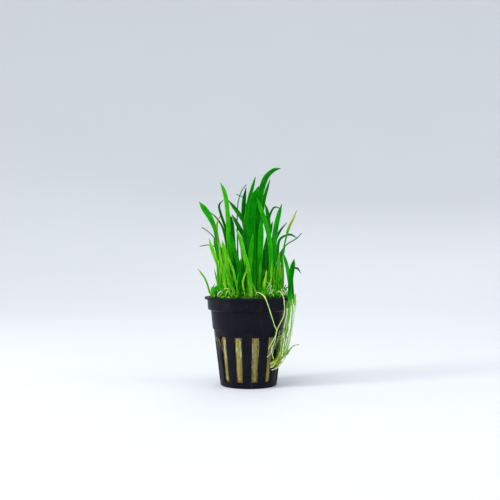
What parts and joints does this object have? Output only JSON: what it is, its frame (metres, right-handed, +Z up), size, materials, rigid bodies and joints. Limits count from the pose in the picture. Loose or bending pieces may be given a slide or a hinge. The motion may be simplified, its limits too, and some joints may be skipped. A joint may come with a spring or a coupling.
{
  "type": "potted lilaeopsis brasiliensis",
  "caption": "Grass-like aquarium plant rooted in mineral wool in a black slotted pot, with a young shoot and roots hanging over the rim.",
  "frame": {"origin": "middle of the pot's underside", "axes": "+Z up along the pot's axis, -Y towards the front, +X to the right seen from the front"},
  "size_m": [0.0589, 0.0507, 0.1221],
  "materials": {
    "pot": "satin black moulded plastic",
    "wool": "moist mineral wool",
    "undergrowth": "young leaves and runners",
    "leaf": "smooth fresh leaf",
    "young_leaf": "smooth young leaf",
    "faded_leaf": "ageing leaf",
    "root": "pale smooth root"
  },
  "bodies": {
    "root": {"pot": "pot", "wool": "wool", "undergrowth": "undergrowth", "leaf_front_1": "leaf", "leaf_front_2": "young_leaf", "leaf_front_3": "young_leaf", "leaf_front_4": "young_leaf", "leaf_front_5": "leaf", "leaf_front_6": "leaf", "leaf_front_7": "leaf", "leaf_front_8": "leaf", "leaf_left_1": "young_leaf", "leaf_left_2": "leaf", "leaf_left_3": "leaf", "leaf_left_4": "faded_leaf", "leaf_left_5": "leaf", "leaf_left_6": "leaf", "leaf_left_7": "leaf", "leaf_left_8": "leaf", "leaf_left_9": "faded_leaf", "leaf_left_10": "leaf", "leaf_left_11": "leaf", "leaf_centre_1": "leaf", "leaf_centre_2": "leaf", "leaf_centre_3": "leaf", "leaf_centre_4": "leaf", "leaf_centre_5": "leaf", "leaf_centre_6": "leaf", "leaf_centre_7": "leaf", "leaf_centre_8": "leaf", "leaf_centre_9": "leaf", "leaf_centre_10": "leaf", "leaf_right_1": "leaf", "leaf_right_2": "young_leaf", "leaf_right_3": "leaf", "leaf_right_4": "leaf", "leaf_right_5": "faded_leaf", "leaf_right_6": "leaf", "leaf_right_7": "leaf", "leaf_right_8": "leaf", "leaf_right_9": "leaf", "leaf_right_10": "leaf", "leaf_back_1": "leaf", "leaf_back_2": "leaf", "leaf_back_3": "leaf", "leaf_back_4": "leaf", "leaf_back_5": "leaf", "leaf_back_6": "young_leaf", "leaf_back_7": "leaf", "leaf_back_8": "leaf", "leaf_back_9": "young_leaf", "leaf_shoot_1": "leaf", "leaf_shoot_2": "leaf", "leaf_shoot_3": "young_leaf", "leaf_shoot_4": "faded_leaf", "runner": "root", "root_front": "root", "root_crossing": "root", "root_outer": "root", "root_side": "root"}
  },
  "joints": []
}
